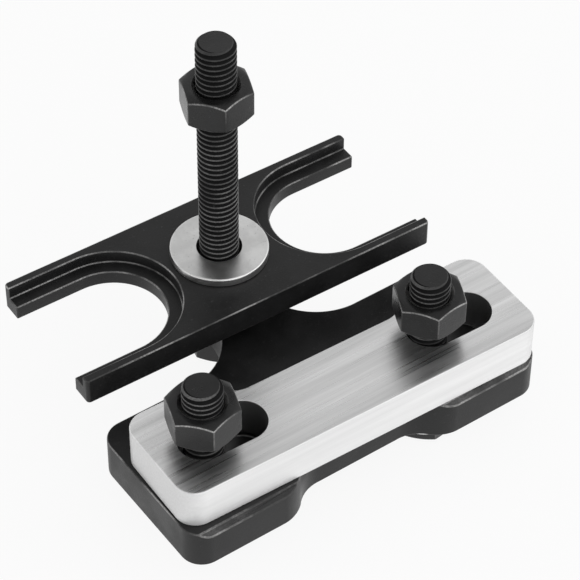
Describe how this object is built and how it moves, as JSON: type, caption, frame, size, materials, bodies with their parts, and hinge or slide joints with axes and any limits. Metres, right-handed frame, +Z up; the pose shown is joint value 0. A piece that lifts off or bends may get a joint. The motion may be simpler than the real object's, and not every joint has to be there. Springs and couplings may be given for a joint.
{
  "type": "valve spring compressor",
  "caption": "Valve spring compressor: a slotted base with a tongue carries a threaded stud, a nut on the stud presses a forked plate, and a loose bar with bolts clamps the base.",
  "frame": {"origin": "on the bolt line, straight in front of the stud, on the underside of the base plate", "axes": "+X along the bolt line, +Y from the bolts to the stud, +Z up the stud"},
  "size_m": [0.0838, 0.0688, 0.0823],
  "materials": {
    "black_plate": "black oxide on machined steel",
    "black_fastener": "black oxide steel",
    "bright_bar": "brushed along its length",
    "zinc": "zinc plated, matte"
  },
  "bodies": {
    "base": {"base_plate": "black_plate", "centre_bolt": "black_fastener", "lock_nut": "black_fastener"},
    "clamp_bar": {"clamp_bar": "bright_bar"},
    "press_nut": {"press_nut": "black_fastener"},
    "press_washer": {"press_washer": "zinc"},
    "fork_plate": {"fork_plate": "black_plate"},
    "clamp_washer_left": {"clamp_washer_left": "zinc"},
    "clamp_bolt_left": {"clamp_bolt_left": "black_fastener"},
    "clamp_nut_left": {"clamp_nut_left": "black_fastener"},
    "clamp_washer_right": {"clamp_washer_right": "zinc"},
    "clamp_bolt_right": {"clamp_bolt_right": "black_fastener"},
    "clamp_nut_right": {"clamp_nut_right": "black_fastener"}
  },
  "joints": [
    {"name": "bar_slide", "type": "slide", "parent": "base", "child": "clamp_bar", "axis": [1, 0, 0], "range_m": [-0.0024, 0]},
    {"name": "press_nut_travel", "type": "slide", "parent": "base", "child": "press_nut", "axis": [0, 0, 1], "range_m": [-0.0255, 0.0094]},
    {"name": "fork_lift", "type": "slide", "parent": "base", "child": "press_washer", "axis": [0, 0, 1], "range_m": [0, 0.01]},
    {"name": "fork_swivel", "type": "hinge", "parent": "press_washer", "child": "fork_plate", "pos_m": [0, 0.0389, 0.0172], "axis": [0, 0, 1], "range_deg": [-12, 14]},
    {"name": "clamp_left_slide", "type": "slide", "parent": "base", "child": "clamp_washer_left", "axis": [1, 0, 0], "range_m": [-0.0008, 0.0064]},
    {"name": "clamp_left_turn", "type": "hinge", "parent": "clamp_washer_left", "child": "clamp_bolt_left", "pos_m": [-0.02964, 0.00078, 0], "axis": [0, 0, 1], "range_deg": [-1260, 1050]},
    {"name": "clamp_left_nut_travel", "type": "slide", "parent": "clamp_washer_left", "child": "clamp_nut_left", "axis": [0, 0, 1], "range_m": [-0.00365, 0.0044]},
    {"name": "clamp_right_slide", "type": "slide", "parent": "base", "child": "clamp_washer_right", "axis": [1, 0, 0], "range_m": [0, 0.0072]},
    {"name": "clamp_right_turn", "type": "hinge", "parent": "clamp_washer_right", "child": "clamp_bolt_right", "pos_m": [0.02254, -0.00059, 0], "axis": [0, 0, 1], "range_deg": [-1260, 1050]},
    {"name": "clamp_right_nut_travel", "type": "slide", "parent": "clamp_washer_right", "child": "clamp_nut_right", "axis": [0, 0, 1], "range_m": [-0.00365, 0.0044]}
  ],
  "couplings": [
    {"joint": "clamp_left_nut_travel", "follows": "clamp_left_turn", "m_per_rad": -0.00019894},
    {"joint": "clamp_right_nut_travel", "follows": "clamp_right_turn", "m_per_rad": -0.00019894}
  ]
}
